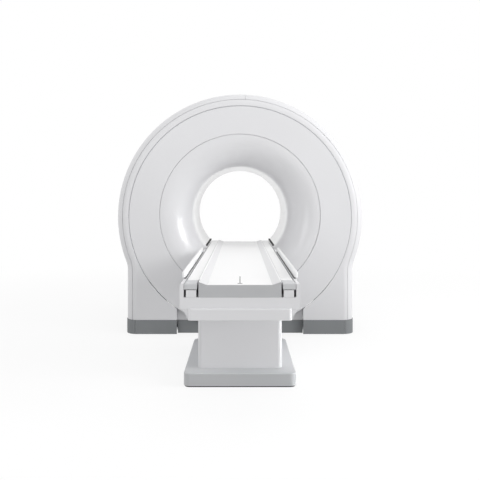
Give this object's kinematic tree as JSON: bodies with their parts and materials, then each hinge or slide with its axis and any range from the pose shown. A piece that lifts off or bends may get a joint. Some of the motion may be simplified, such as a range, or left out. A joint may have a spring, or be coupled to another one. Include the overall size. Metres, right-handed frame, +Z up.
{
  "type": "mri scanner",
  "caption": "Round-bodied whole-body imaging magnet with a flared bore, on two legs, with a lifting patient table whose cradle slides into the bore.",
  "frame": {"origin": "on the floor under the middle of the bore, at the centre of the floor plate's underside", "axes": "+Y along the bore, the way a patient goes in; +X to the right of someone looking into the bore; +Z up"},
  "size_m": [2.03, 3.368, 1.97],
  "materials": {
    "shell": "moulded and painted, satin gloss",
    "funnel": "gel-coated composite, gloss",
    "plinth": "matte grey kick panel",
    "frame": "mill finish",
    "vessel": "stainless steel",
    "shield": "plain",
    "composite": "glass-fibre composite",
    "coil": "wound wire in resin",
    "table": "moulded, satin gloss",
    "tabletop": "smooth composite top",
    "cap": "satin grey moulding",
    "base": "satin light grey moulding",
    "black": "black rubber"
  },
  "bodies": {
    "gantry": {"front_surround": "shell", "rear_surround": "shell", "front_ring_cover": "shell", "rear_ring_cover": "shell", "side_cover_left": "shell", "side_cover_right": "shell", "front_funnel": "funnel", "bore_liner": "funnel", "rear_funnel": "funnel", "toe_panel": "shell", "plinth_side_left": "plinth", "plinth_side_right": "plinth", "plinth_front_left": "plinth", "plinth_front_right": "plinth", "plinth_rear": "plinth", "plinth_centre": "plinth", "front_cover_frame": "frame", "rear_cover_frame": "frame", "frame_brackets": "frame", "floor_plate": "frame", "magnet_saddles": "frame", "vacuum_shell": "vessel", "vacuum_bore_tube": "vessel", "thermal_shield": "shield", "thermal_shield_bore": "shield", "helium_vessel": "vessel", "helium_bore_tube": "vessel", "cold_mass_posts": "composite", "coil_former": "shield", "superconducting_coils": "coil", "gradient_coil": "composite", "rf_body_coil": "composite", "service_turret": "vessel", "cold_head": "vessel", "bore_bridge": "table", "bore_edge_seals": "black", "table_base_plate": "black", "table_base_cover": "base", "pedestal_cover": "table", "lift_column": "frame", "lift_drive": "frame"},
    "table_lift": {"lift_tube": "frame", "column_sleeve": "table", "lower_tray": "table", "deck_body": "table", "deck_tracks": "table", "glide_strips": "black", "side_bar_strips": "black", "side_bar_right": "table", "side_bar_left": "table", "drive_belt": "black", "pulley_brackets": "frame", "drive_motor": "frame"},
    "cradle": {"cradle_board": "tabletop", "cradle_end_cap": "cap", "cradle_corner_blocks": "tabletop", "belt_clamp": "frame"},
    "screw": {"lift_screw": "vessel"},
    "idler": {"idler_pulley": "frame"},
    "driver": {"drive_pulley": "frame"}
  },
  "joints": [
    {"name": "table_lift", "type": "slide", "parent": "gantry", "child": "table_lift", "axis": [0, 0, 1], "range_m": [0, 0.12]},
    {"name": "cradle_slide", "type": "slide", "parent": "table_lift", "child": "cradle", "axis": [0, 1, 0], "range_m": [0, 1.2]},
    {"name": "lift_screw_turn", "type": "hinge", "parent": "gantry", "child": "screw", "pos_m": [0, -1.6335, 0.2], "axis": [0, 0, 1], "range_deg": [0, 4330]},
    {"name": "idler_turn", "type": "hinge", "parent": "table_lift", "child": "idler", "pos_m": [0, -2.5, 0.603], "axis": [-1, 0, 0], "range_deg": [0, 4050]},
    {"name": "driver_turn", "type": "hinge", "parent": "table_lift", "child": "driver", "pos_m": [0, -0.88, 0.603], "axis": [-1, 0, 0], "range_deg": [0, 4050]}
  ],
  "couplings": [
    {"joint": "lift_screw_turn", "follows": "table_lift", "rad_per_m": 628.32},
    {"joint": "idler_turn", "follows": "cradle_slide", "rad_per_m": 58.824},
    {"joint": "driver_turn", "follows": "cradle_slide", "rad_per_m": 58.824}
  ]
}
